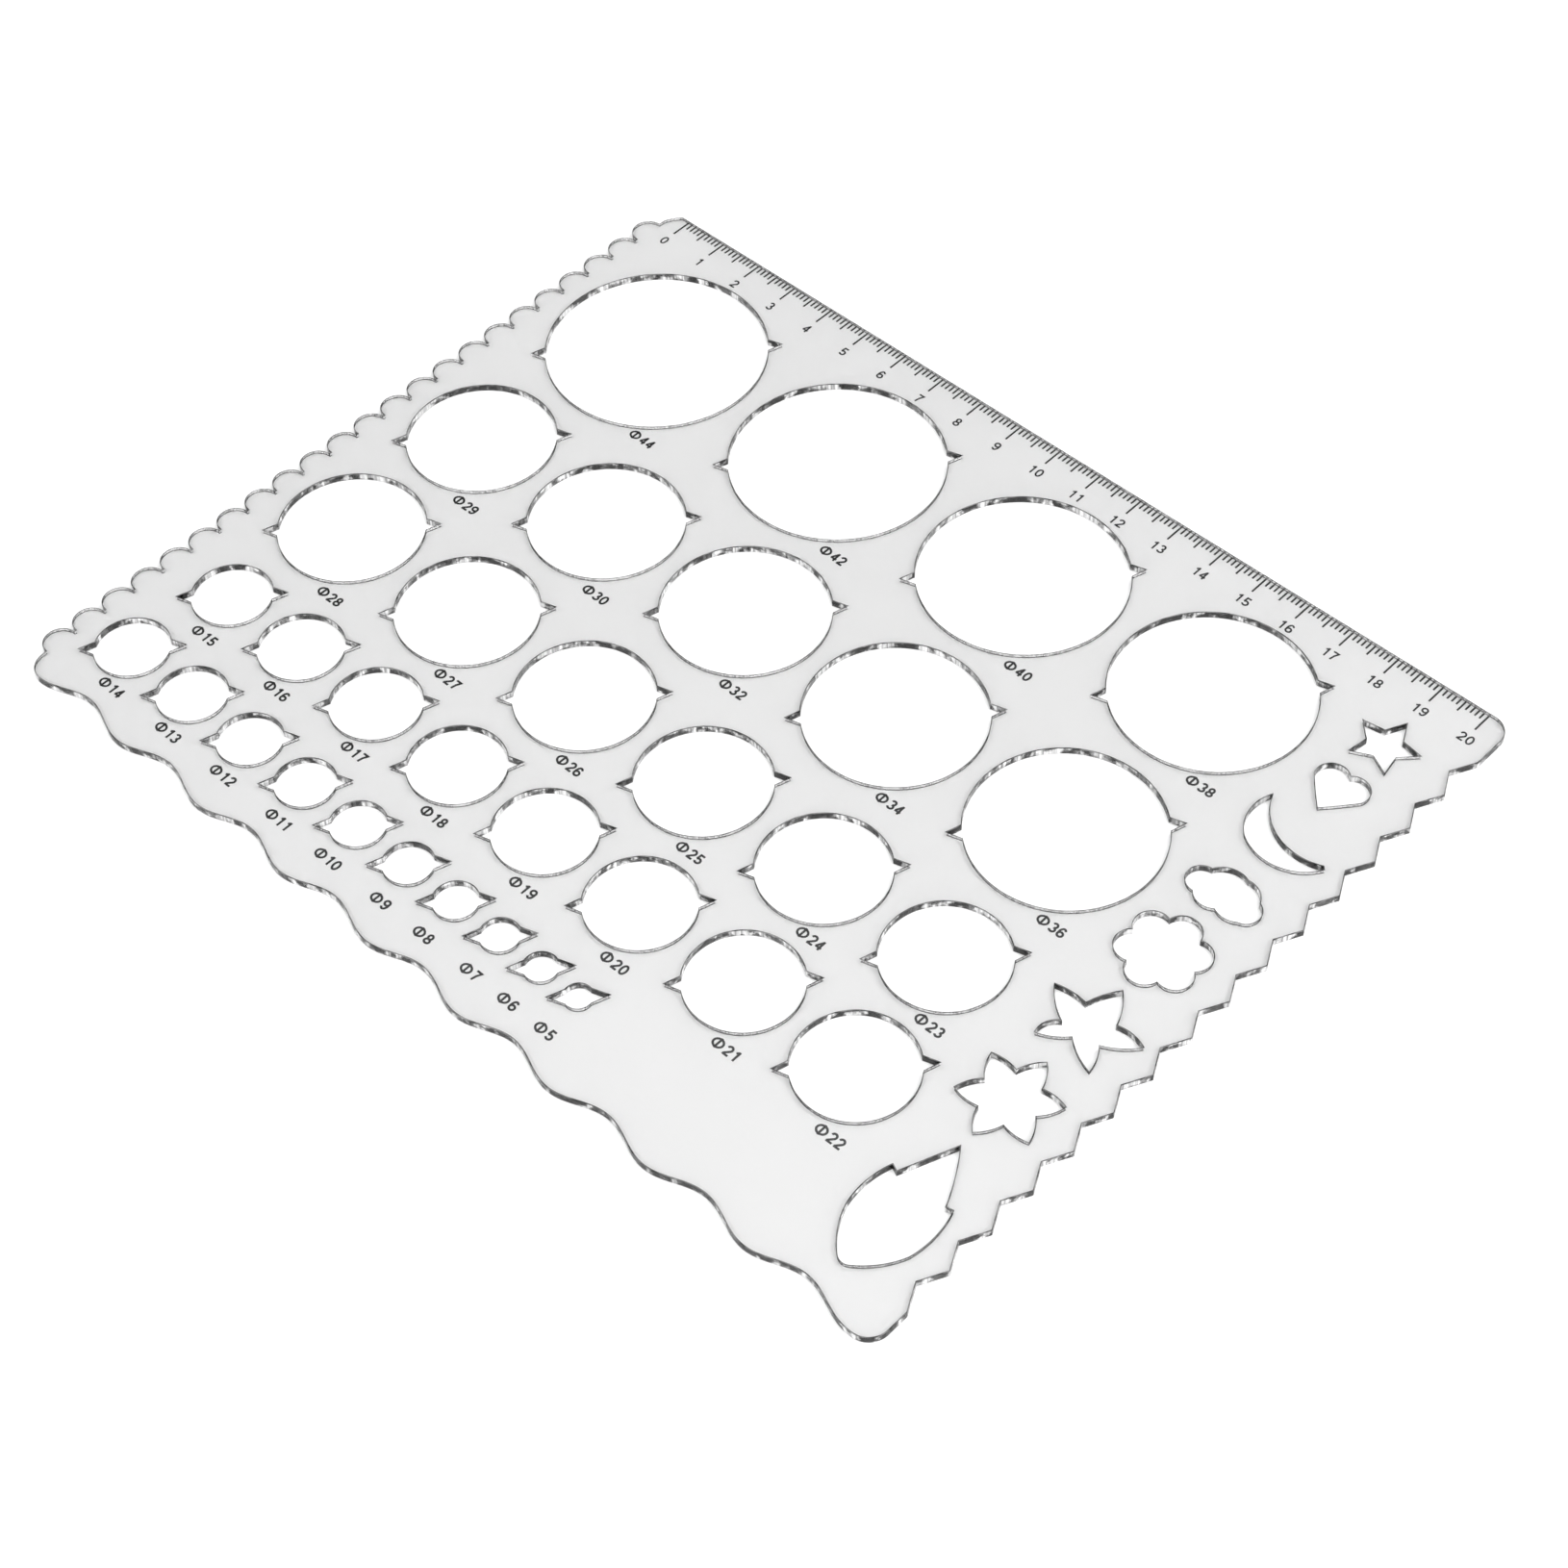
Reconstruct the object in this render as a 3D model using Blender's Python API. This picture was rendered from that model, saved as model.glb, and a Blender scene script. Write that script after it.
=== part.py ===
"""Circle template: a clear cut sheet with circles, shapes, decorated edges, a 20 cm scale and size labels.

Sheet coordinates are in millimetres: x along the ruler from its zero, y up to the ruler edge at y = 0.
The scene is in metres, with the rest plane at z = 0 and the middle of the sheet over the origin.
"""

import math

import bmesh
import bpy

MM = 0.001

# Stack, from the rest plane up: printed film, a hair of clearance, clear sheet.
INK_THICK = 0.03
INK_GAP = 0.01
SHEET_THICK = 1.5
SHEET_BOTTOM = INK_THICK + INK_GAP

# Outline of the sheet.
LEFT_X = -3.75
RIGHT_X = 205.3
BOTTOM_Y = -169.6
SCALLOP_PITCH = 6.972
SCALLOP_RADIUS = 3.3
SCALLOP_COUNT = 23
SCALLOP_TOP = -4.45
TOOTH_PITCH = 10.02
TOOTH_COUNT = 15
TOOTH_DEPTH = 2.6
TOOTH_TOP = -10.8
WAVE_LENGTH = 22.2
WAVE_COUNT = 9
WAVE_HEIGHT = 2.9
WAVE_START = 0.5
WAVE_STEPS = 14
TOP_CORNER = 4.1
BOTTOM_CORNER = 4.2
SAGITTA = 0.04
SMALLEST_TURN = 18

# Each hole is its nominal size plus the room for a pencil point.
PEN_ALLOWANCE = 0.2
NOTCH_DEPTH = 2.65
NOTCH_HALF_WIDTH = 1.45
NOTCH_ANGLES = (45, 225)

# A row is its left-hand edge, the gap between holes, and each hole's nominal diameter with its centre's y.
ROW_TOP = -9.74
CIRCLE_ROWS = (
    (0.35, 4.73, tuple((d, ROW_TOP - (d + PEN_ALLOWANCE) / 2) for d in (44, 42, 40, 38))),
    (0.24, 4.275, ((29, -72.45), (30, -71.99), (32, -70.97), (34, -71.2), (36, -70.8))),
    (0.16, 4.28, tuple((d, -105.61) for d in (28, 27, 26, 25, 24, 23))),
    (3.18, 3.775, tuple((d, -132.35) for d in range(15, 23))),
    (0.08, 3.32, tuple((d, -153.27) for d in range(14, 4, -1))),
)

# Printing: stroke width, cap height and digit advance, and the middle of each label by hole size.
STROKE = 0.36
CAP = 2.15
ADVANCE = 1.68
SIGN_ADVANCE = 2.35
HAIRLINE = 0.06
NUMERAL_Y = -7.0
LABEL_CENTRES = {
    44: (37.8, -51.4), 42: (86.4, -49.4), 40: (130.8, -48.1), 38: (172.2, -47.2),
    29: (25.4, -86.6), 30: (60.5, -86.4), 32: (95.6, -86.1), 34: (134.5, -86.8), 36: (172.8, -88.3),
    28: (24.1, -119.9), 27: (55.4, -119.2), 26: (86.6, -118.6), 25: (116.3, -118.3), 24: (144.4, -117.8),
    23: (171.3, -117.7), 15: (14.3, -142.1), 16: (34.5, -142.1), 17: (55.8, -142.3), 18: (77.4, -142.8),
    19: (100.4, -143.2), 20: (123.5, -143.9), 21: (149.7, -143.9), 22: (174.0, -144.9),
    14: (11.5, -161.8), 13: (27.5, -161.8), 12: (42.6, -161.7), 11: (57.7, -161.7), 10: (70.7, -161.7),
    9: (84.3, -161.7), 8: (95.2, -161.7), 7: (106.8, -161.6), 6: (116.0, -161.6), 5: (124.9, -161.6),
}

# Ruler marks: length by the millimetre's place in its centimetre.
TICK_COUNT = 201
TICK_WIDTH = 0.37
TICK_SHORT, TICK_HALF, TICK_LONG = 1.6, 2.7, 4.3
TICK_TOP = -0.05

CENTRE_X = (LEFT_X - SCALLOP_RADIUS + RIGHT_X) / 2
CENTRE_Y = BOTTOM_Y / 2


def to_scene(point):
    return ((point[0] - CENTRE_X) * MM, (point[1] - CENTRE_Y) * MM)


def arc_points(centre, radii, start, end, steps):
    """Points of an elliptical arc, in degrees, both ends included."""
    angles = (math.radians(start + (end - start) * i / steps) for i in range(steps + 1))
    return [(centre[0] + radii[0] * math.cos(a), centre[1] + radii[1] * math.sin(a)) for a in angles]


def bulge_path(vertices):
    """Closed outline from (x, y, bulge): the side to the next vertex swells by bulge x half its length.

    A positive bulge swells to the right of the direction of travel; 0 is straight and 1 is a half circle.
    """
    points = []
    for (x0, y0, bulge), (x1, y1, _) in zip(vertices, vertices[1:] + vertices[:1]):
        points.append((x0, y0))
        if not bulge:
            continue
        half = math.hypot(x1 - x0, y1 - y0) / 2
        turn = 4 * math.atan(abs(bulge))
        radius = half / math.sin(turn / 2)
        offset = -radius * math.cos(turn / 2) * math.copysign(1, bulge)
        nx, ny = (y1 - y0) / (2 * half), (x0 - x1) / (2 * half)
        cx, cy = (x0 + x1) / 2 + nx * offset, (y0 + y1) / 2 + ny * offset
        start = math.degrees(math.atan2(y0 - cy, x0 - cx))
        sweep = math.degrees(turn) * math.copysign(1, bulge)
        step = 2 * math.degrees(math.acos(1 - min(1, SAGITTA / radius)))
        steps = max(2, math.ceil(abs(sweep) / min(step, SMALLEST_TURN)))
        points += arc_points((cx, cy), (radius, radius), start, start + sweep, steps)[1:-1]
    return points


def sheet_outline():
    """Counter-clockwise from the ruler's right-hand end: ruler, scallops, wave, teeth."""
    right_tip = RIGHT_X
    path = [(right_tip - TOP_CORNER, 0, 0), (-1.6, 0, 0.1), (-3.15, -2.1, 0.1), (LEFT_X, -3.4, 0)]
    for i in range(SCALLOP_COUNT):
        middle = SCALLOP_TOP - SCALLOP_PITCH * (i + 0.5)
        path += [(LEFT_X, middle + SCALLOP_RADIUS, 1), (LEFT_X, middle - SCALLOP_RADIUS, 0)]
    path.append((LEFT_X, BOTTOM_Y + BOTTOM_CORNER, 0.4142))
    for i in range(WAVE_COUNT * WAVE_STEPS + 1):
        turn = 2 * math.pi * i / WAVE_STEPS
        y = BOTTOM_Y + WAVE_HEIGHT * (1 - math.cos(turn)) / 2
        path.append((WAVE_START + WAVE_LENGTH * i / WAVE_STEPS, y, 0))
    path += [(right_tip - BOTTOM_CORNER, BOTTOM_Y, 0.4142), (right_tip, BOTTOM_Y + BOTTOM_CORNER, 0)]
    for i in reversed(range(2 * TOOTH_COUNT + 1)):
        inner = i % 2
        path.append((right_tip - TOOTH_DEPTH * inner, TOOTH_TOP - TOOTH_PITCH * i / 2, 0))
    path.append((right_tip, -TOP_CORNER, 0.4142))
    return bulge_path(path)


def notched_circle(cx, cy, nominal):
    """A round hole with a pointed notch at each of the two NOTCH_ANGLES."""
    radius = (nominal + PEN_ALLOWANCE) / 2
    half = math.degrees(math.asin(NOTCH_HALF_WIDTH / radius))
    span = 180 - 2 * half
    step = 2 * math.degrees(math.acos(1 - SAGITTA / radius))
    steps = math.ceil(span / min(step, SMALLEST_TURN))
    points = []
    for angle in NOTCH_ANGLES:
        tip = math.radians(angle)
        reach = radius + NOTCH_DEPTH
        points.append((cx + reach * math.cos(tip), cy + reach * math.sin(tip)))
        points += arc_points((cx, cy), (radius, radius), angle + half, angle + half + span, steps)
    return points


def circle_layout():
    """(nominal, centre x, centre y) of every round hole."""
    found = []
    for left, gap, holes in CIRCLE_ROWS:
        for nominal, y in holes:
            radius = (nominal + PEN_ALLOWANCE) / 2
            found.append((nominal, left + radius, y))
            left += 2 * radius + gap
    return found


def star(centre, tip_radius, inner_radius, count, bulge=0.0):
    """A star of count points, first one up, with its sides swollen by bulge."""
    path = []
    for i in range(2 * count):
        angle = math.radians(90 + 180 * i / count)
        radius = inner_radius if i % 2 else tip_radius
        path.append((centre[0] + radius * math.cos(angle), centre[1] + radius * math.sin(angle), bulge))
    return bulge_path(path)


def flower(centre, cusp_radius, count, bulge):
    """count round petals between cusps, with the first petal up."""
    path = []
    for i in range(count):
        angle = math.radians(90 + 360 * (i + 0.5) / count)
        path.append((centre[0] + cusp_radius * math.cos(angle), centre[1] + cusp_radius * math.sin(angle), bulge))
    return bulge_path(path)


def shape_outlines():
    """The column of fancy holes, top to bottom."""
    heart = [(190.6, -28.5, 0.85), (185.5, -32.0, 0.02), (190.6, -37.85, 0.02), (195.6, -32.0, 0.85)]
    crescent = [(183.0, -40.8, 0.33), (185.0, -51.2, 0.45), (199.8, -48.2, 0), (199.3, -47.7, -0.44)]
    cloud = [
        (185.6, -60.9, 1.02), (186.0, -66.7, 0.43), (191.2, -67.3, 0.29), (195.9, -67.0, 0.76),
        (196.2, -61.4, 0.36), (191.7, -58.8, 0.4),
    ]
    lily = [
        (190.7, -91.3, 0.1), (187.8, -97.3, 0.13), (181.5, -97.7, 0.13), (187.2, -102.6, 0.36),
        (185.4, -107.4, 0.13), (190.5, -103.9, 0.13), (197.0, -107.4, 0.15), (194.8, -102.3, 0.13),
        (200.5, -97.8, 0.2), (194.4, -97.4, 0.13),
    ]
    leaf = [
        (191.1, -132.6, 0), (186.8, -143.1, 0), (185.4, -142.5, 0.14), (184.9, -152.6, 0.14),
        (190.2, -160.7, 0.39), (193.0, -160.8, 0.14), (198.8, -153.4, 0.14), (198.3, -142.5, 0),
        (196.9, -142.8, 0.06),
    ]
    return [
        star((190.65, -18.45), 6.5, 3.3, 5),
        bulge_path(heart),
        bulge_path(crescent),
        bulge_path(cloud),
        flower((190.4, -80.05), 6.6, 6, 0.85),
        bulge_path(lily),
        star((190.8, -120.0), 9.15, 5.4, 6, 0.15),
        bulge_path(leaf),
    ]


# Strokes of each character in a box one cap height tall, about its middle: (closed, points).
def ring(centre, radii, steps=9):
    return True, arc_points(centre, radii, 0, 360, steps)[:-1]


def hook(centre, radii, start, end, steps=5):
    return arc_points(centre, radii, start, end, steps)


def digit_strokes():
    six = [
        ring((0.0, 0.3), (0.245, 0.235)),
        (False, hook((0.01, 0.5), (0.255, 0.435), 40, 205)),
    ]
    return {
        "0": [ring((0, 0.5), (0.25, 0.435))],
        "1": [(False, [(-0.17, 0.74), (0.07, 0.93)]), (False, [(0.07, 1.0), (0.07, 0.0)])],
        "2": [
            (False, hook((0, 0.69), (0.235, 0.245), 170, -35, 5) + [(-0.24, 0.065)]),
            (False, [(-0.29, 0.065), (0.29, 0.065)]),
        ],
        "3": [
            (False, hook((-0.01, 0.715), (0.21, 0.22), 160, -90)),
            (False, hook((-0.01, 0.28), (0.25, 0.215), 90, -160)),
        ],
        "4": [
            (False, [(0.12, 0.0), (0.12, 1.0)]),
            (False, [(0.11, 0.93), (-0.25, 0.27)]),
            (False, [(-0.3, 0.27), (0.3, 0.27)]),
        ],
        "5": [
            (False, [(0.24, 0.935), (-0.15, 0.935), (-0.21, 0.46)]),
            (False, hook((0, 0.31), (0.25, 0.245), 150, -155)),
        ],
        "6": six,
        "7": [(False, [(-0.28, 0.935), (0.24, 0.935), (0.03, 0.5), (-0.07, 0.0)])],
        "8": [ring((0, 0.715), (0.2, 0.22), 8), ring((0, 0.28), (0.25, 0.215))],
        "9": [(closed, [(-x, 1 - y) for x, y in points]) for closed, points in six],
        "Φ": [ring((0, 0.5), (0.47, 0.4), 10), (False, [(0, -0.03), (0, 1.03)])],
    }


def offset_side(points, closed, distance):
    """The points moved sideways by distance, keeping the width of a stroke at its bends."""
    count = len(points)
    moved = []
    for i, (x, y) in enumerate(points):
        before = points[i - 1] if closed or i else points[i]
        after = points[(i + 1) % count] if closed or i < count - 1 else points[i]
        sides = []
        for (ax, ay), (bx, by) in ((before, (x, y)), ((x, y), after)):
            length = math.hypot(bx - ax, by - ay)
            if length:
                sides.append(((ay - by) / length, (bx - ax) / length))
        nx = sum(side[0] for side in sides) / len(sides)
        ny = sum(side[1] for side in sides) / len(sides)
        scale = distance / (nx * nx + ny * ny)
        moved.append((x + nx * scale, y + ny * scale))
    return moved


def stroke_loops(closed, points):
    left = offset_side(points, closed, STROKE / 2)
    right = offset_side(points, closed, -STROKE / 2)
    return [left, right] if closed else [left + right[::-1]]


def text_loops(text, centre_x, centre_y):
    """Outline loops of each stroke of a text centred on a point, with the hairline that joins its characters."""
    strokes = digit_strokes()
    advances = [SIGN_ADVANCE if char == "Φ" else ADVANCE for char in text[:-1]]
    width = sum(advances)
    # The sign is wider than a digit, which moves the optical middle to the left of the pen positions' middle.
    pen = centre_x - width / 2 + (0.18 if text[0] == "Φ" else 0)
    first = pen
    base = centre_y - CAP / 2
    loops = []
    for char, advance in zip(text, advances + [0]):
        for closed, points in strokes[char]:
            placed = [(pen + CAP * x, base + CAP * y) for x, y in points]
            loops.append(stroke_loops(closed, placed))
        pen += advance
    if len(text) > 1:
        y = base + 0.065 * CAP
        last = pen + 0.07 * CAP
        loops.append([[(first, y - HAIRLINE / 2), (last, y - HAIRLINE / 2),
                       (last, y + HAIRLINE / 2), (first, y + HAIRLINE / 2)]])
    return loops


def graduation_comb():
    """One closed outline of all the ruler's marks, hanging from a hairline along the ruler edge."""
    right = TICK_WIDTH / 2 + TICK_COUNT - 1
    points = [(right, TICK_TOP), (-TICK_WIDTH / 2, TICK_TOP)]
    for i in range(TICK_COUNT):
        length = TICK_LONG if i % 10 == 0 else TICK_HALF if i % 5 == 0 else TICK_SHORT
        for x, y in ((-1, -length), (1, -length), (1, TICK_TOP - HAIRLINE)):
            points.append((i + x * TICK_WIDTH / 2, y))
        if i < TICK_COUNT - 1:
            points.append((i + 1 - TICK_WIDTH / 2, TICK_TOP - HAIRLINE))
        else:
            points.pop()
    return points


def prism(name, loops, bottom, thickness, collection):
    """A flat plate cut to closed loops, of which the first is its edge and the rest are holes."""
    curve = bpy.data.curves.new(name, "CURVE")
    curve.dimensions = "2D"
    curve.fill_mode = "BOTH"
    curve.extrude = thickness * MM / 2
    for loop in loops:
        spline = curve.splines.new("POLY")
        spline.points.add(len(loop) - 1)
        for target, point in zip(spline.points, loop):
            target.co = (*to_scene(point), 0, 1)
        spline.use_cyclic_u = True
    drawn = bpy.data.objects.new(name, curve)
    collection.objects.link(drawn)
    bpy.context.view_layer.update()
    mesh = bpy.data.meshes.new_from_object(drawn.evaluated_get(bpy.context.evaluated_depsgraph_get()))
    bpy.data.objects.remove(drawn)
    bpy.data.curves.remove(curve)
    work = bmesh.new()
    work.from_mesh(mesh)
    bmesh.ops.remove_doubles(work, verts=work.verts, dist=1e-7)
    bmesh.ops.translate(work, verts=work.verts, vec=(0, 0, (bottom + thickness / 2) * MM))
    bmesh.ops.recalc_face_normals(work, faces=work.faces)
    work.to_mesh(mesh)
    work.free()
    mesh.name = name
    solid = bpy.data.objects.new(name, mesh)
    collection.objects.link(solid)
    return solid


def united(name, loop_groups, bottom, thickness, collection):
    """One body from overlapping plates."""
    plates = [prism(name, loops, bottom, thickness, collection) for loops in loop_groups]
    body, rest = plates[0], plates[1:]
    for plate in rest:
        join = body.modifiers.new("union", "BOOLEAN")
        join.operation = "UNION"
        join.solver = "EXACT"
        join.object = plate
        bpy.context.view_layer.update()
        mesh = bpy.data.meshes.new_from_object(body.evaluated_get(bpy.context.evaluated_depsgraph_get()))
        body.modifiers.clear()
        body.data = mesh
        bpy.data.objects.remove(plate)
    work = bmesh.new()
    work.from_mesh(body.data)
    bmesh.ops.remove_doubles(work, verts=work.verts, dist=2e-7)
    bmesh.ops.dissolve_limit(work, angle_limit=0.001, verts=work.verts, edges=work.edges)
    bmesh.ops.recalc_face_normals(work, faces=work.faces)
    work.to_mesh(body.data)
    work.free()
    body.name = name
    return body


def material(name, colour, roughness, transmission=0.0):
    found = bpy.data.materials.new(name)
    found.use_nodes = True
    found.diffuse_color = colour
    shader = found.node_tree.nodes["Principled BSDF"]
    shader.inputs["Base Color"].default_value = colour
    shader.inputs["Roughness"].default_value = roughness
    shader.inputs["Transmission Weight"].default_value = transmission
    shader.inputs["IOR"].default_value = 1.49
    return found


def main():
    for old in list(bpy.data.objects):
        bpy.data.objects.remove(old)
    collection = bpy.data.collections.new("circle_template")
    bpy.context.scene.collection.children.link(collection)

    holes = [notched_circle(x, y, nominal) for nominal, x, y in circle_layout()] + shape_outlines()
    sheet = prism("template_sheet", [sheet_outline()] + holes, SHEET_BOTTOM, SHEET_THICK, collection)
    sheet.data.materials.append(material("clear_acrylic", (0.9, 0.92, 0.92, 1), 0.05, 1.0))

    printed = [prism("ruler_graduations", [graduation_comb()], 0, INK_THICK, collection)]
    for number in range(21):
        loops = text_loops(str(number), 10 * number, NUMERAL_Y)
        printed.append(united(f"numeral_{number:02d}", loops, 0, INK_THICK, collection))
    for size, (x, y) in LABEL_CENTRES.items():
        printed.append(united(f"label_d{size:02d}", text_loops(f"Φ{size}", x, y), 0, INK_THICK, collection))
    for mark in printed:
        mark.data.materials.clear()
        mark.data.materials.append(material(f"ink_{mark.name}", (0.02, 0.02, 0.02, 1), 0.6))


main()
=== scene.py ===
"""Looks of the circle template: a clear cut sheet with black printing on its underside, on a pale floor.

Sheet coordinates are in millimetres: x along the ruler from its zero, y up to the ruler edge at y = 0.
The scene is in metres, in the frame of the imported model.
"""

import math

import bmesh
import bpy
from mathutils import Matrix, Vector
from mathutils.geometry import tessellate_polygon


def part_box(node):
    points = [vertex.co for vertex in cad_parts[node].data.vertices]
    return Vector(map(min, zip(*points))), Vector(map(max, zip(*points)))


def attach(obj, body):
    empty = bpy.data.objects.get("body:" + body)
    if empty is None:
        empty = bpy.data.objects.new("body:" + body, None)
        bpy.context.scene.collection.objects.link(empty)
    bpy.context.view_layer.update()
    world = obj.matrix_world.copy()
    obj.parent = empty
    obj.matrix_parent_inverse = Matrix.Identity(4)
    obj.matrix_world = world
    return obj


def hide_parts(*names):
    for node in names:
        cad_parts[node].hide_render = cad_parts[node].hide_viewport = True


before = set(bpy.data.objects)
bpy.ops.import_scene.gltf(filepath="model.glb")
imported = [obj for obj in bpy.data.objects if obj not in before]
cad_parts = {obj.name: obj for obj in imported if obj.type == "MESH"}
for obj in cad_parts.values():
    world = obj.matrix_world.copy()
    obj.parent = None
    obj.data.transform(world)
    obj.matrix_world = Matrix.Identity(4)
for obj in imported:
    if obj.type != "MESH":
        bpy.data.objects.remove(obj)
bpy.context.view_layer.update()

MM = 0.001

# Where sheet coordinates sit in the frame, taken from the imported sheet's own box.
SHEET_LOW, SHEET_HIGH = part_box("template_sheet")
INK_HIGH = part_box("ruler_graduations")[1].z

# Outline of the sheet.
LEFT_X = -3.75
RIGHT_X = 205.3
BOTTOM_Y = -169.6
SCALLOP_PITCH = 6.972
SCALLOP_RADIUS = 3.3
SCALLOP_COUNT = 23
SCALLOP_TOP = -4.45
TOOTH_PITCH = 10.02
TOOTH_COUNT = 15
TOOTH_DEPTH = 2.6
TOOTH_TOP = -10.8
WAVE_LENGTH = 22.2
WAVE_COUNT = 9
WAVE_HEIGHT = 2.9
WAVE_START = 0.5
WAVE_STEPS = 64
TOP_CORNER = 4.1
BOTTOM_CORNER = 4.2
QUARTER_BULGE = 0.4142
# The worn corner at the ruler's zero, in three points.
ZERO_CORNER = ((-1.6, 0, 0.1), (-3.15, -2.1, 0.1), (LEFT_X, -3.4, 0))

# Arcs are drawn with no more than this much sagitta and this much turn to a step.
SAGITTA = 0.0015
LARGEST_TURN = 6.0

# Arrises are eased by EDGE_ROUND, with a ring part of the way up the curve, and a rim runs round them on top.
# Arrises and rim carry painted shade: a near-black colour for the thin dark line that refraction draws along
# a cut edge.
EDGE_ROUND = 0.09
EASED_PART = 0.3
PAINTED_SHADE_RIM_WIDTH = 0.09
SMOOTH_BELOW = 25

# Round holes.
PEN_ALLOWANCE = 0.2
NOTCH_DEPTH = 2.65
NOTCH_HALF_WIDTH = 1.45
NOTCH_ANGLES = (45, 225)
ROW_TOP = -9.74
CIRCLE_ROWS = (
    (0.35, 4.73, tuple((d, ROW_TOP - (d + PEN_ALLOWANCE) / 2) for d in (44, 42, 40, 38))),
    (0.24, 4.275, ((29, -72.45), (30, -71.99), (32, -70.97), (34, -71.2), (36, -70.8))),
    (0.16, 4.28, tuple((d, -105.61) for d in (28, 27, 26, 25, 24, 23))),
    (3.18, 3.775, tuple((d, -132.35) for d in range(15, 23))),
    (0.08, 3.32, tuple((d, -153.27) for d in range(14, 4, -1))),
)

# Printing: stroke widths, cap height, advances, and the middle of each label by hole size.
NUMERAL_STROKE = 0.35
LABEL_STROKE = 0.42
CAP = 2.15
ADVANCE = 1.68
SIGN_ADVANCE = 2.35
SIGN_LEAD = 0.18
NUMERAL_Y = -7.0
NUMERAL_COUNT = 21
LABEL_CENTRES = {
    44: (37.8, -51.4), 42: (86.4, -49.4), 40: (130.8, -48.1), 38: (172.2, -47.2),
    29: (25.4, -86.6), 30: (60.5, -86.4), 32: (95.6, -86.1), 34: (134.5, -86.8), 36: (172.8, -88.3),
    28: (24.1, -119.9), 27: (55.4, -119.2), 26: (86.6, -118.6), 25: (116.3, -118.3), 24: (144.4, -117.8),
    23: (171.3, -117.7), 15: (14.3, -142.1), 16: (34.5, -142.1), 17: (55.8, -142.3), 18: (77.4, -142.8),
    19: (100.4, -143.2), 20: (123.5, -143.9), 21: (149.7, -143.9), 22: (174.0, -144.9),
    14: (11.5, -161.8), 13: (27.5, -161.8), 12: (42.6, -161.7), 11: (57.7, -161.7), 10: (70.7, -161.7),
    9: (84.3, -161.7), 8: (95.2, -161.7), 7: (106.8, -161.6), 6: (116.0, -161.6), 5: (124.9, -161.6),
}
TICK_COUNT = 201
TICK_WIDTH = 0.37
TICK_SHORT, TICK_HALF, TICK_LONG = 1.6, 2.7, 4.3
TICK_TOP = -0.05
# Strokes that cross are welded where their points come this close, in metres.
WELD = 2e-7

CENTRE_X = (LEFT_X - SCALLOP_RADIUS + RIGHT_X) / 2
CENTRE_Y = BOTTOM_Y / 2
MIDDLE = (SHEET_LOW + SHEET_HIGH) / 2

# Camera: position and turn in the frame, and lens on a 36 mm sensor.
CAMERA_AT = (0.274857, -0.269171, 0.437597)
CAMERA_TURN = (39.7456, 1.2462, 43.3191)
CAMERA_LENS = 74.009

# Stage, in metres: the floor's half width and its gap below the sheet, and the lamp.
FLOOR_HALF = 3.0
FLOOR_GAP = 0.00002
KEY_LIGHT_AT = (0.5, 0.15, 0.7)
KEY_LIGHT_SIZE = 0.4
KEY_LIGHT_POWER = 1.0
WORLD_BRIGHT_SIDE = (0.5, -0.3, 0.75)
# From and to along that direction, and the radiance at each.
WORLD_RAMP = (0.1, 0.7, 0.06, 2.2)


def place(point, z):
    """A sheet point at a height in the frame."""
    return Vector((MIDDLE.x + (point[0] - CENTRE_X) * MM, MIDDLE.y + (point[1] - CENTRE_Y) * MM, z))


# Outlines.
def polar(centre, radius, angle):
    """The point at a radius from the centre, with the angle in radians."""
    return centre[0] + radius * math.cos(angle), centre[1] + radius * math.sin(angle)


def arc_points(centre, radii, start, end, steps):
    """Points of an elliptical arc, in degrees, both ends included."""
    angles = (math.radians(start + (end - start) * i / steps) for i in range(steps + 1))
    return [(centre[0] + radii[0] * math.cos(a), centre[1] + radii[1] * math.sin(a)) for a in angles]


def steps_for(radius, sweep):
    """How many steps an arc takes, for a sweep in degrees."""
    step = 2 * math.degrees(math.acos(1 - min(1, SAGITTA / radius)))
    return max(3, math.ceil(abs(sweep) / min(step, LARGEST_TURN)))


def bulge_path(vertices):
    """Closed outline from (x, y, bulge): the side to the next vertex swells by bulge x half its length.

    A positive bulge swells to the right of the direction of travel; 0 is straight and 1 is a half circle.
    """
    points = []
    for (x0, y0, bulge), (x1, y1, _) in zip(vertices, vertices[1:] + vertices[:1]):
        points.append((x0, y0))
        if not bulge:
            continue
        half = math.hypot(x1 - x0, y1 - y0) / 2
        turn = 4 * math.atan(abs(bulge))
        radius = half / math.sin(turn / 2)
        offset = -radius * math.cos(turn / 2) * math.copysign(1, bulge)
        nx, ny = (y1 - y0) / (2 * half), (x0 - x1) / (2 * half)
        cx, cy = (x0 + x1) / 2 + nx * offset, (y0 + y1) / 2 + ny * offset
        start = math.degrees(math.atan2(y0 - cy, x0 - cx))
        sweep = math.degrees(turn) * math.copysign(1, bulge)
        steps = steps_for(radius, sweep)
        points += arc_points((cx, cy), (radius, radius), start, start + sweep, steps)[1:-1]
    return points


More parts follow.
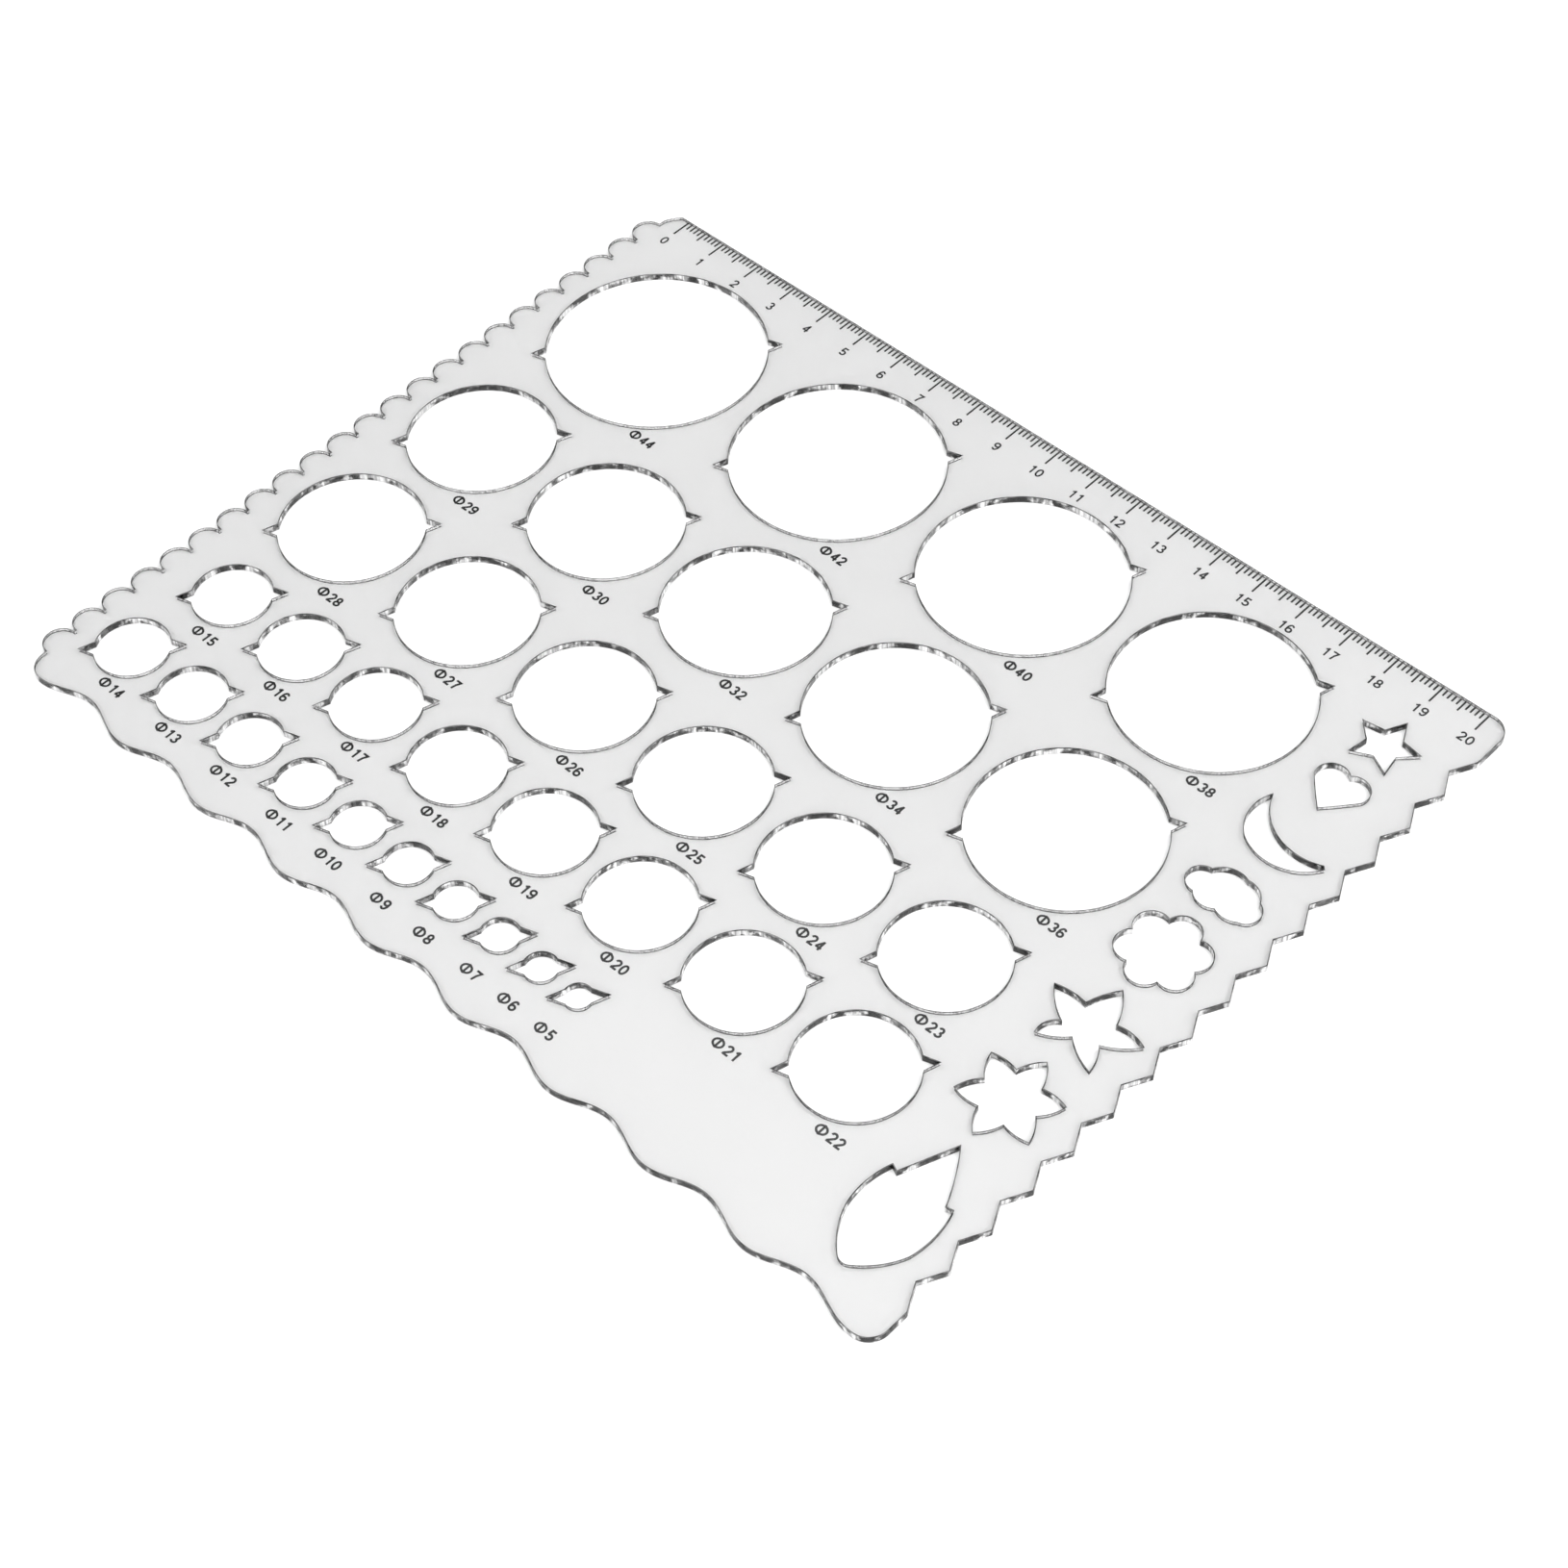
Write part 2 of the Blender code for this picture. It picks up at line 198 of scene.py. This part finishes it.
def sheet_outline():
    """Counter-clockwise from the ruler's right-hand end: ruler, scallops, wave, teeth."""
    path = [(RIGHT_X - TOP_CORNER, 0, 0), *ZERO_CORNER]
    for i in range(SCALLOP_COUNT):
        middle = SCALLOP_TOP - SCALLOP_PITCH * (i + 0.5)
        path += [(LEFT_X, middle + SCALLOP_RADIUS, 1), (LEFT_X, middle - SCALLOP_RADIUS, 0)]
    path.append((LEFT_X, BOTTOM_Y + BOTTOM_CORNER, QUARTER_BULGE))
    for i in range(WAVE_COUNT * WAVE_STEPS + 1):
        turn = 2 * math.pi * i / WAVE_STEPS
        y = BOTTOM_Y + WAVE_HEIGHT * (1 - math.cos(turn)) / 2
        path.append((WAVE_START + WAVE_LENGTH * i / WAVE_STEPS, y, 0))
    path += [(RIGHT_X - BOTTOM_CORNER, BOTTOM_Y, QUARTER_BULGE), (RIGHT_X, BOTTOM_Y + BOTTOM_CORNER, 0)]
    for i in reversed(range(2 * TOOTH_COUNT + 1)):
        path.append((RIGHT_X - TOOTH_DEPTH * (i % 2), TOOTH_TOP - TOOTH_PITCH * i / 2, 0))
    path.append((RIGHT_X, -TOP_CORNER, QUARTER_BULGE))
    return bulge_path(path)


def notched_circle(cx, cy, nominal):
    """A round hole with a pointed notch at each of the two NOTCH_ANGLES."""
    radius = (nominal + PEN_ALLOWANCE) / 2
    half = math.degrees(math.asin(NOTCH_HALF_WIDTH / radius))
    span = 180 - 2 * half
    steps = steps_for(radius, span)
    points = []
    for angle in NOTCH_ANGLES:
        points.append(polar((cx, cy), radius + NOTCH_DEPTH, math.radians(angle)))
        points += arc_points((cx, cy), (radius, radius), angle + half, angle + half + span, steps)
    return points


def circle_layout():
    """(nominal, centre x, centre y) of every round hole."""
    found = []
    for left, gap, holes in CIRCLE_ROWS:
        for nominal, y in holes:
            radius = (nominal + PEN_ALLOWANCE) / 2
            found.append((nominal, left + radius, y))
            left += 2 * radius + gap
    return found


def star(centre, tip_radius, inner_radius, count, bulge=0.0):
    """A star of count points, first one up, with its sides swollen by bulge."""
    path = []
    for i in range(2 * count):
        angle = math.radians(90 + 180 * i / count)
        path.append((*polar(centre, inner_radius if i % 2 else tip_radius, angle), bulge))
    return bulge_path(path)


def flower(centre, cusp_radius, count, bulge):
    """A flower of count round petals between cusps, with the first petal up."""
    path = []
    for i in range(count):
        angle = math.radians(90 + 360 * (i + 0.5) / count)
        path.append((*polar(centre, cusp_radius, angle), bulge))
    return bulge_path(path)


def shape_outlines():
    """The column of fancy holes, top to bottom."""
    heart = [(190.6, -28.5, 0.85), (185.5, -32.0, 0.02), (190.6, -37.85, 0.02), (195.6, -32.0, 0.85)]
    crescent = [(183.0, -40.8, 0.33), (185.0, -51.2, 0.45), (199.8, -48.2, 0), (199.3, -47.7, -0.44)]
    cloud = [
        (185.6, -60.9, 1.02), (186.0, -66.7, 0.43), (191.2, -67.3, 0.29), (195.9, -67.0, 0.76),
        (196.2, -61.4, 0.36), (191.7, -58.8, 0.4),
    ]
    lily = [
        (190.7, -91.3, 0.1), (187.8, -97.3, 0.13), (181.5, -97.7, 0.13), (187.2, -102.6, 0.36),
        (185.4, -107.4, 0.13), (190.5, -103.9, 0.13), (197.0, -107.4, 0.15), (194.8, -102.3, 0.13),
        (200.5, -97.8, 0.2), (194.4, -97.4, 0.13),
    ]
    leaf = [
        (191.1, -132.6, 0), (186.8, -143.1, 0), (185.4, -142.5, 0.14), (184.9, -152.6, 0.14),
        (190.2, -160.7, 0.39), (193.0, -160.8, 0.14), (198.8, -153.4, 0.14), (198.3, -142.5, 0),
        (196.9, -142.8, 0.06),
    ]
    return [
        star((190.65, -18.45), 6.5, 3.3, 5),
        bulge_path(heart),
        bulge_path(crescent),
        bulge_path(cloud),
        flower((190.4, -80.05), 6.6, 6, 0.85),
        bulge_path(lily),
        star((190.8, -120.0), 9.15, 5.4, 6, 0.15),
        bulge_path(leaf),
    ]


def signed_area(loop):
    """Positive when the loop runs counter-clockwise."""
    return sum(x0 * y1 - x1 * y0 for (x0, y0), (x1, y1) in zip(loop, loop[1:] + loop[:1])) / 2


def inset(loop, distance):
    """The loop moved to its left by distance, with its corners kept sharp."""
    moved = []
    for i, (x, y) in enumerate(loop):
        sides = []
        for (ax, ay), (bx, by) in ((loop[i - 1], (x, y)), ((x, y), loop[(i + 1) % len(loop)])):
            length = math.hypot(bx - ax, by - ay)
            sides.append(((ay - by) / length, (bx - ax) / length))
        nx, ny = (sides[0][0] + sides[1][0]) / 2, (sides[0][1] + sides[1][1]) / 2
        scale = distance / max(nx * nx + ny * ny, 0.2)
        moved.append((x + nx * scale, y + ny * scale))
    return moved


# Lettering.
def ring(centre, radii, steps=40):
    """A closed stroke."""
    return True, arc_points(centre, radii, 0, 360, steps)[:-1]


def hook(centre, radii, start, end, steps=24):
    """The points of a curved part of an open stroke."""
    return arc_points(centre, radii, start, end, steps)


def digit_strokes():
    """(closed, points) of each character's strokes, in a box one cap height tall, about its middle."""
    six = [
        ring((0.0, 0.3), (0.245, 0.235)),
        (False, hook((0.01, 0.5), (0.255, 0.435), 40, 205)),
    ]
    return {
        "0": [ring((0, 0.5), (0.25, 0.435))],
        "1": [(False, [(-0.17, 0.74), (0.07, 0.93)]), (False, [(0.07, 1.0), (0.07, 0.0)])],
        "2": [
            (False, hook((0, 0.69), (0.235, 0.245), 170, -35) + [(-0.24, 0.065)]),
            (False, [(-0.29, 0.065), (0.29, 0.065)]),
        ],
        "3": [
            (False, hook((-0.01, 0.715), (0.21, 0.22), 160, -90)),
            (False, hook((-0.01, 0.28), (0.25, 0.215), 90, -160)),
        ],
        "4": [
            (False, [(0.12, 0.0), (0.12, 1.0)]),
            (False, [(0.11, 0.93), (-0.25, 0.27)]),
            (False, [(-0.3, 0.27), (0.3, 0.27)]),
        ],
        "5": [
            (False, [(0.24, 0.935), (-0.15, 0.935), (-0.21, 0.46)]),
            (False, hook((0, 0.31), (0.25, 0.245), 150, -155)),
        ],
        "6": six,
        "7": [(False, [(-0.28, 0.935), (0.24, 0.935), (0.03, 0.5), (-0.07, 0.0)])],
        "8": [ring((0, 0.715), (0.2, 0.22)), ring((0, 0.28), (0.25, 0.215))],
        "9": [(closed, [(-x, 1 - y) for x, y in points]) for closed, points in six],
        "Φ": [ring((0, 0.5), (0.47, 0.4)), (False, [(0, -0.03), (0, 1.03)])],
    }


def offset_side(points, closed, distance):
    """The points moved sideways by distance, keeping the width of a stroke at its bends."""
    count = len(points)
    moved = []
    for i, (x, y) in enumerate(points):
        before = points[i - 1] if closed or i else points[i]
        after = points[(i + 1) % count] if closed or i < count - 1 else points[i]
        sides = []
        for (ax, ay), (bx, by) in ((before, (x, y)), ((x, y), after)):
            length = math.hypot(bx - ax, by - ay)
            if length:
                sides.append(((ay - by) / length, (bx - ax) / length))
        nx = sum(side[0] for side in sides) / len(sides)
        ny = sum(side[1] for side in sides) / len(sides)
        scale = distance / (nx * nx + ny * ny)
        moved.append((x + nx * scale, y + ny * scale))
    return moved


def stroke_loops(closed, points, width):
    """The edge of a stroke, and for a closed one its inner edge too."""
    left = offset_side(points, closed, width / 2)
    right = offset_side(points, closed, -width / 2)
    return [right, left] if closed else [left + right[::-1]]


def text_loops(text, centre_x, centre_y, width):
    """Outline loops of each stroke of a text centred on a point."""
    strokes = digit_strokes()
    advances = [SIGN_ADVANCE if char == "Φ" else ADVANCE for char in text[:-1]]
    pen = centre_x - sum(advances) / 2 + (SIGN_LEAD if text[0] == "Φ" else 0)
    base = centre_y - CAP / 2
    loops = []
    for char, advance in zip(text, advances + [0]):
        for closed, points in strokes[char]:
            placed = [(pen + CAP * x, base + CAP * y) for x, y in points]
            loops.append(stroke_loops(closed, placed, width))
        pen += advance
    return loops


def tick_loops():
    """One thin bar for each millimetre of the ruler."""
    loops = []
    for i in range(TICK_COUNT):
        length = TICK_LONG if i % 10 == 0 else TICK_HALF if i % 5 == 0 else TICK_SHORT
        left, right = i - TICK_WIDTH / 2, i + TICK_WIDTH / 2
        loops.append([[(left, -length), (right, -length), (right, TICK_TOP), (left, TICK_TOP)]])
    return loops


# Meshes.
def plate_mesh(name, loops, low, high, edge_round=0.0):
    """A flat plate cut to closed loops, of which the first is its edge and the rest are holes.

    With edge_round its top and bottom arrises are eased, and a rim runs round them on top.
    Walls take material slot 1, and arrises and rim slot 2, whose dark colour is painted shade for the line
    refraction draws at an edge.
    """
    loops = [loop if (signed_area(loop) > 0) == (not i) else loop[::-1] for i, loop in enumerate(loops)]
    caps = [inset(loop, edge_round) for loop in loops] if edge_round else loops
    rings, slots, top_loops = [(caps, low), (caps, high)], [1], caps
    if edge_round:
        eased = [inset(loop, edge_round * EASED_PART) for loop in loops]
        top_loops = [inset(loop, edge_round + PAINTED_SHADE_RIM_WIDTH) for loop in loops]
        rings = [
            (caps, low),
            (loops, low + edge_round * MM),
            (loops, high - edge_round * MM),
            (eased, high - EASED_PART * edge_round * MM),
            (caps, high),
            (top_loops, high),
        ]
        # Slot 2, on the arrises and the flat top rim, carries the painted shade of the dark edge line.
        slots = [2, 1, 2, 2, 2]
    per_ring = sum(map(len, loops))
    vertices = [place(point, z) for outlines, z in rings for loop in outlines for point in loop]
    faces, face_slots = [], []
    for level, slot in enumerate(slots):
        start = level * per_ring
        for loop in loops:
            count = len(loop)
            for i in range(count):
                a, b = start + i, start + (i + 1) % count
                faces.append((a, b, b + per_ring, a + per_ring))
            start += count
        face_slots += [slot] * per_ring
    top = (len(rings) - 1) * per_ring
    for outlines, first, upward in ((caps, 0, False), (top_loops, top, True)):
        flat = [point for loop in outlines for point in loop]
        for a, b, c in tessellate_polygon([[(x, y, 0) for x, y in loop] for loop in outlines]):
            if (signed_area([flat[a], flat[b], flat[c]]) > 0) != upward:
                a, b = b, a
            faces.append((first + a, first + b, first + c))
    mesh = bpy.data.meshes.new(name)
    mesh.from_pydata(vertices, [], faces)
    face_slots += [0] * (len(faces) - len(face_slots))
    mesh.polygons.foreach_set("material_index", face_slots)
    mesh.update()
    return mesh


def linked_object(name, mesh):
    piece = bpy.data.objects.new(name, mesh)
    bpy.context.scene.collection.objects.link(piece)
    return piece


def smooth_walls(mesh, angle):
    """Smooth shading that breaks at edges sharper than angle, in degrees."""
    for polygon in mesh.polygons:
        polygon.use_smooth = True
    mesh.set_sharp_from_angle(angle=math.radians(angle))


def united_plates(name, loop_groups, low, high):
    """One mesh from overlapping plates."""
    pieces = [linked_object(name, plate_mesh(name, loops, low, high)) for loops in loop_groups]
    body = pieces[0]
    for other in pieces[1:]:
        join = body.modifiers.new("union", "BOOLEAN")
        join.operation = "UNION"
        join.solver = "EXACT"
        join.object = other
        bpy.context.view_layer.update()
        graph = bpy.context.evaluated_depsgraph_get()
        mesh = bpy.data.meshes.new_from_object(body.evaluated_get(graph))
        body.modifiers.clear()
        body.data = mesh
        bpy.data.objects.remove(other)
    work = bmesh.new()
    work.from_mesh(body.data)
    bmesh.ops.remove_doubles(work, verts=work.verts, dist=WELD)
    bmesh.ops.recalc_face_normals(work, faces=work.faces)
    work.to_mesh(body.data)
    work.free()
    for polygon in body.data.polygons:
        polygon.material_index = 0
    body.data.name = name
    return body


def joined_plates(name, loop_groups, low, high):
    """One mesh from separate plates."""
    work = bmesh.new()
    for loops in loop_groups:
        work.from_mesh(plate_mesh(name, loops, low, high))
    mesh = bpy.data.meshes.new(name)
    work.to_mesh(mesh)
    work.free()
    for polygon in mesh.polygons:
        polygon.material_index = 0
    return linked_object(name, mesh)


# Materials.
class Shader:
    """A node tree under construction, with its Principled node."""

    def __init__(self, name):
        self.material = bpy.data.materials.new(name)
        self.material.use_nodes = True
        self.tree = self.material.node_tree
        self.principled = self.tree.nodes["Principled BSDF"]

    def set(self, **values):
        for socket, value in values.items():
            self.principled.inputs[socket.replace("_", " ")].default_value = value

    def add(self, kind, **settings):
        node = self.tree.nodes.new(kind)
        for key, value in settings.items():
            if hasattr(node, key):
                setattr(node, key, value)
            else:
                node.inputs[key.replace("_", " ")].default_value = value
        return node

    def link(self, output, target):
        self.tree.links.new(output, target)

    def position(self, scale=(1, 1, 1)):
        """Object coordinates, stretched."""
        coordinates = self.add("ShaderNodeTexCoord")
        mapping = self.add("ShaderNodeMapping")
        mapping.inputs["Scale"].default_value = scale
        self.link(coordinates.outputs["Object"], mapping.inputs["Vector"])
        return mapping.outputs["Vector"]

    def noise(self, scale, detail=2.0, stretch=(1, 1, 1)):
        node = self.add("ShaderNodeTexNoise", Scale=scale, Detail=detail)
        self.link(self.position(stretch), node.inputs["Vector"])
        return node.outputs["Fac"]

    def spread(self, source, low, high, start=0.3, end=0.7):
        """The source's start to end as low to high."""
        node = self.add("ShaderNodeMapRange")
        for socket, value in zip(("From Min", "From Max", "To Min", "To Max"), (start, end, low, high)):
            node.inputs[socket].default_value = value
        self.link(source, node.inputs["Value"])
        return node.outputs["Result"]

    def blend(self, source, first, second):
        """A colour between two by the source. Each is a grey level or another node's output."""
        node = self.add("ShaderNodeMix", data_type="RGBA")
        self.link(source, node.inputs["Factor"])
        for name, end in (("A", first), ("B", second)):
            if isinstance(end, float):
                node.inputs[name].default_value = (end, end, end, 1)
            else:
                self.link(end, node.inputs[name])
        return node.outputs["Result"]

    def colour(self, source):
        self.link(source, self.principled.inputs["Base Color"])

    def bump(self, source, strength, distance):
        node = self.add("ShaderNodeBump", Strength=strength, Distance=distance)
        self.link(source, node.inputs["Height"])
        self.link(node.outputs["Normal"], self.principled.inputs["Normal"])


def acrylic_face():
    """Polished faces: clear, hardly tinted, with faint handling haze."""
    shader = Shader("acrylic_face")
    shader.set(Transmission_Weight=1.0, IOR=1.49)
    shader.colour(shader.blend(shader.spread(shader.noise(9.0), 0.0, 1.0), 0.985, 0.995))
    shader.link(shader.spread(shader.noise(60.0, 4.0), 0.0, 0.02), shader.principled.inputs["Roughness"])
    return shader.material


def acrylic_cut():
    """Laser-cut walls: fine upright striations, and stretches that are clear or faintly frosted. Their colour
    is painted light and shade: black to near white in streaks and stretches, standing in for light and dark
    refracted through the wall.
    """
    shader = Shader("acrylic_cut")
    shader.set(IOR=1.49, Roughness=0.1)
    frost_and_painted_light = shader.spread(shader.noise(420.0, 3.0), 0.0, 1.0, 0.44, 0.58)
    streaks_and_painted_light = shader.spread(shader.noise(1800.0, 3.0, (1, 1, 0.05)), 0.0, 1.0, 0.38, 0.62)
    shader.link(shader.spread(frost_and_painted_light, 1.0, 0.3, 0.0, 1.0), shader.principled.inputs["Transmission Weight"])
    # Painted light and shade: dark streaks in clear stretches and bright ones in frosted stretches stand in
    # for refracted light.
    shader.colour(shader.blend(frost_and_painted_light, shader.blend(streaks_and_painted_light, 0.0, 0.4), shader.blend(streaks_and_painted_light, 0.3, 0.95)))
    shader.bump(streaks_and_painted_light, 0.5, 0.0001)
    return shader.material


def acrylic_arris():
    """Edges of the cut, slightly melted: painted shade, a near-black colour that draws the thin dark line
    refraction makes along a cut edge.
    """
    shader = Shader("acrylic_arris")
    shader.set(Transmission_Weight=0.2, IOR=1.49, Roughness=0.4)
    # Painted shade: near-black colour, mottled along the edge, stands in for the dark line of refraction at
    # the edge.
    shader.colour(shader.blend(shader.spread(shader.noise(500.0, 3.0), 0.0, 1.0, 0.4, 0.6), 0.001, 0.15))
    return shader.material


def printed_ink(name, darkest, lightest):
    """Flat black print, a little uneven where it lies thin."""
    shader = Shader(name)
    shader.colour(shader.blend(shader.spread(shader.noise(1800.0, 3.0), 0.0, 1.0), darkest, lightest))
    shader.link(shader.spread(shader.noise(1200.0, 2.0), 0.45, 0.65), shader.principled.inputs["Roughness"])
    return shader.material


def pale_floor():
    shader = Shader("pale_floor")
    shader.set(Roughness=0.9, Specular_IOR_Level=0.0)
    shader.colour(shader.blend(shader.spread(shader.noise(3.0), 0.0, 1.0), 0.9, 0.92))
    return shader.material


# Pieces.
def carry(piece, node, materials):
    """The piece rides with the object and stands for a CAD node."""
    for material in materials:
        piece.data.materials.append(material)
    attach(piece, "root")
    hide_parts(node)


def build_sheet():
    holes = [notched_circle(x, y, nominal) for nominal, x, y in circle_layout()] + shape_outlines()
    mesh = plate_mesh("clear_sheet", [sheet_outline()] + holes, SHEET_LOW.z, SHEET_HIGH.z, EDGE_ROUND)
    sheet = linked_object("clear_sheet", mesh)
    smooth_walls(mesh, SMOOTH_BELOW)
    carry(sheet, "template_sheet", [acrylic_face(), acrylic_cut(), acrylic_arris()])


def build_printing():
    scale_ink = printed_ink("scale_ink", 0.005, 0.03)
    label_ink = printed_ink("label_ink", 0.003, 0.02)
    ticks = joined_plates("ink_graduations", tick_loops(), 0, INK_HIGH)
    carry(ticks, "ruler_graduations", [scale_ink])
    for number in range(NUMERAL_COUNT):
        loops = text_loops(str(number), 10 * number, NUMERAL_Y, NUMERAL_STROKE)
        piece = united_plates(f"ink_numeral_{number:02d}", loops, 0, INK_HIGH)
        carry(piece, f"numeral_{number:02d}", [scale_ink])
    for size, centre in LABEL_CENTRES.items():
        loops = text_loops(f"Φ{size}", *centre, LABEL_STROKE)
        piece = united_plates(f"ink_label_d{size:02d}", loops, 0, INK_HIGH)
        carry(piece, f"label_d{size:02d}", [label_ink])


# Studio.
def build_floor():
    signs = ((-1, -1), (1, -1), (1, 1), (-1, 1))
    corners = [(x * FLOOR_HALF, y * FLOOR_HALF, -FLOOR_GAP) for x, y in signs]
    mesh = bpy.data.meshes.new("floor")
    mesh.from_pydata(corners, [], [(0, 1, 2, 3)])
    mesh.materials.append(pale_floor())
    linked_object("floor", mesh)


def build_world():
    """A room that is bright towards WORLD_BRIGHT_SIDE and dark on the other side."""
    world = bpy.data.worlds.new("studio")
    world.use_nodes = True
    tree = world.node_tree
    coordinates = tree.nodes.new("ShaderNodeTexCoord")
    side = tree.nodes.new("ShaderNodeVectorMath")
    side.operation = "DOT_PRODUCT"
    side.inputs[1].default_value = Vector(WORLD_BRIGHT_SIDE).normalized()
    ramp = tree.nodes.new("ShaderNodeMapRange")
    ramp.interpolation_type = "SMOOTHSTEP"
    for socket, value in zip(("From Min", "From Max", "To Min", "To Max"), WORLD_RAMP):
        ramp.inputs[socket].default_value = value
    tree.links.new(coordinates.outputs["Generated"], side.inputs[0])
    tree.links.new(side.outputs["Value"], ramp.inputs["Value"])
    tree.nodes["Background"].inputs["Color"].default_value = (1, 1, 1, 1)
    tree.links.new(ramp.outputs["Result"], tree.nodes["Background"].inputs["Strength"])
    bpy.context.scene.world = world


def build_softbox(name, location, size, power):
    light = bpy.data.lights.new(name, "AREA")
    light.shape = "SQUARE"
    light.size = size
    light.energy = power
    lamp = bpy.data.objects.new(name, light)
    lamp.location = location
    lamp.rotation_euler = (-Vector(location)).to_track_quat("-Z", "Y").to_euler()
    bpy.context.scene.collection.objects.link(lamp)


def build_camera():
    data = bpy.data.cameras.new("camera")
    data.lens = CAMERA_LENS
    data.sensor_width = 36
    data.clip_start, data.clip_end = 0.01, 20
    camera = bpy.data.objects.new("camera", data)
    camera.location = CAMERA_AT
    camera.rotation_euler = [math.radians(angle) for angle in CAMERA_TURN]
    bpy.context.scene.collection.objects.link(camera)
    bpy.context.scene.camera = camera


build_camera()
build_sheet()
build_printing()
build_floor()
build_world()
build_softbox("key_light", KEY_LIGHT_AT, KEY_LIGHT_SIZE, KEY_LIGHT_POWER)
bpy.context.scene.view_settings.view_transform = "Standard"
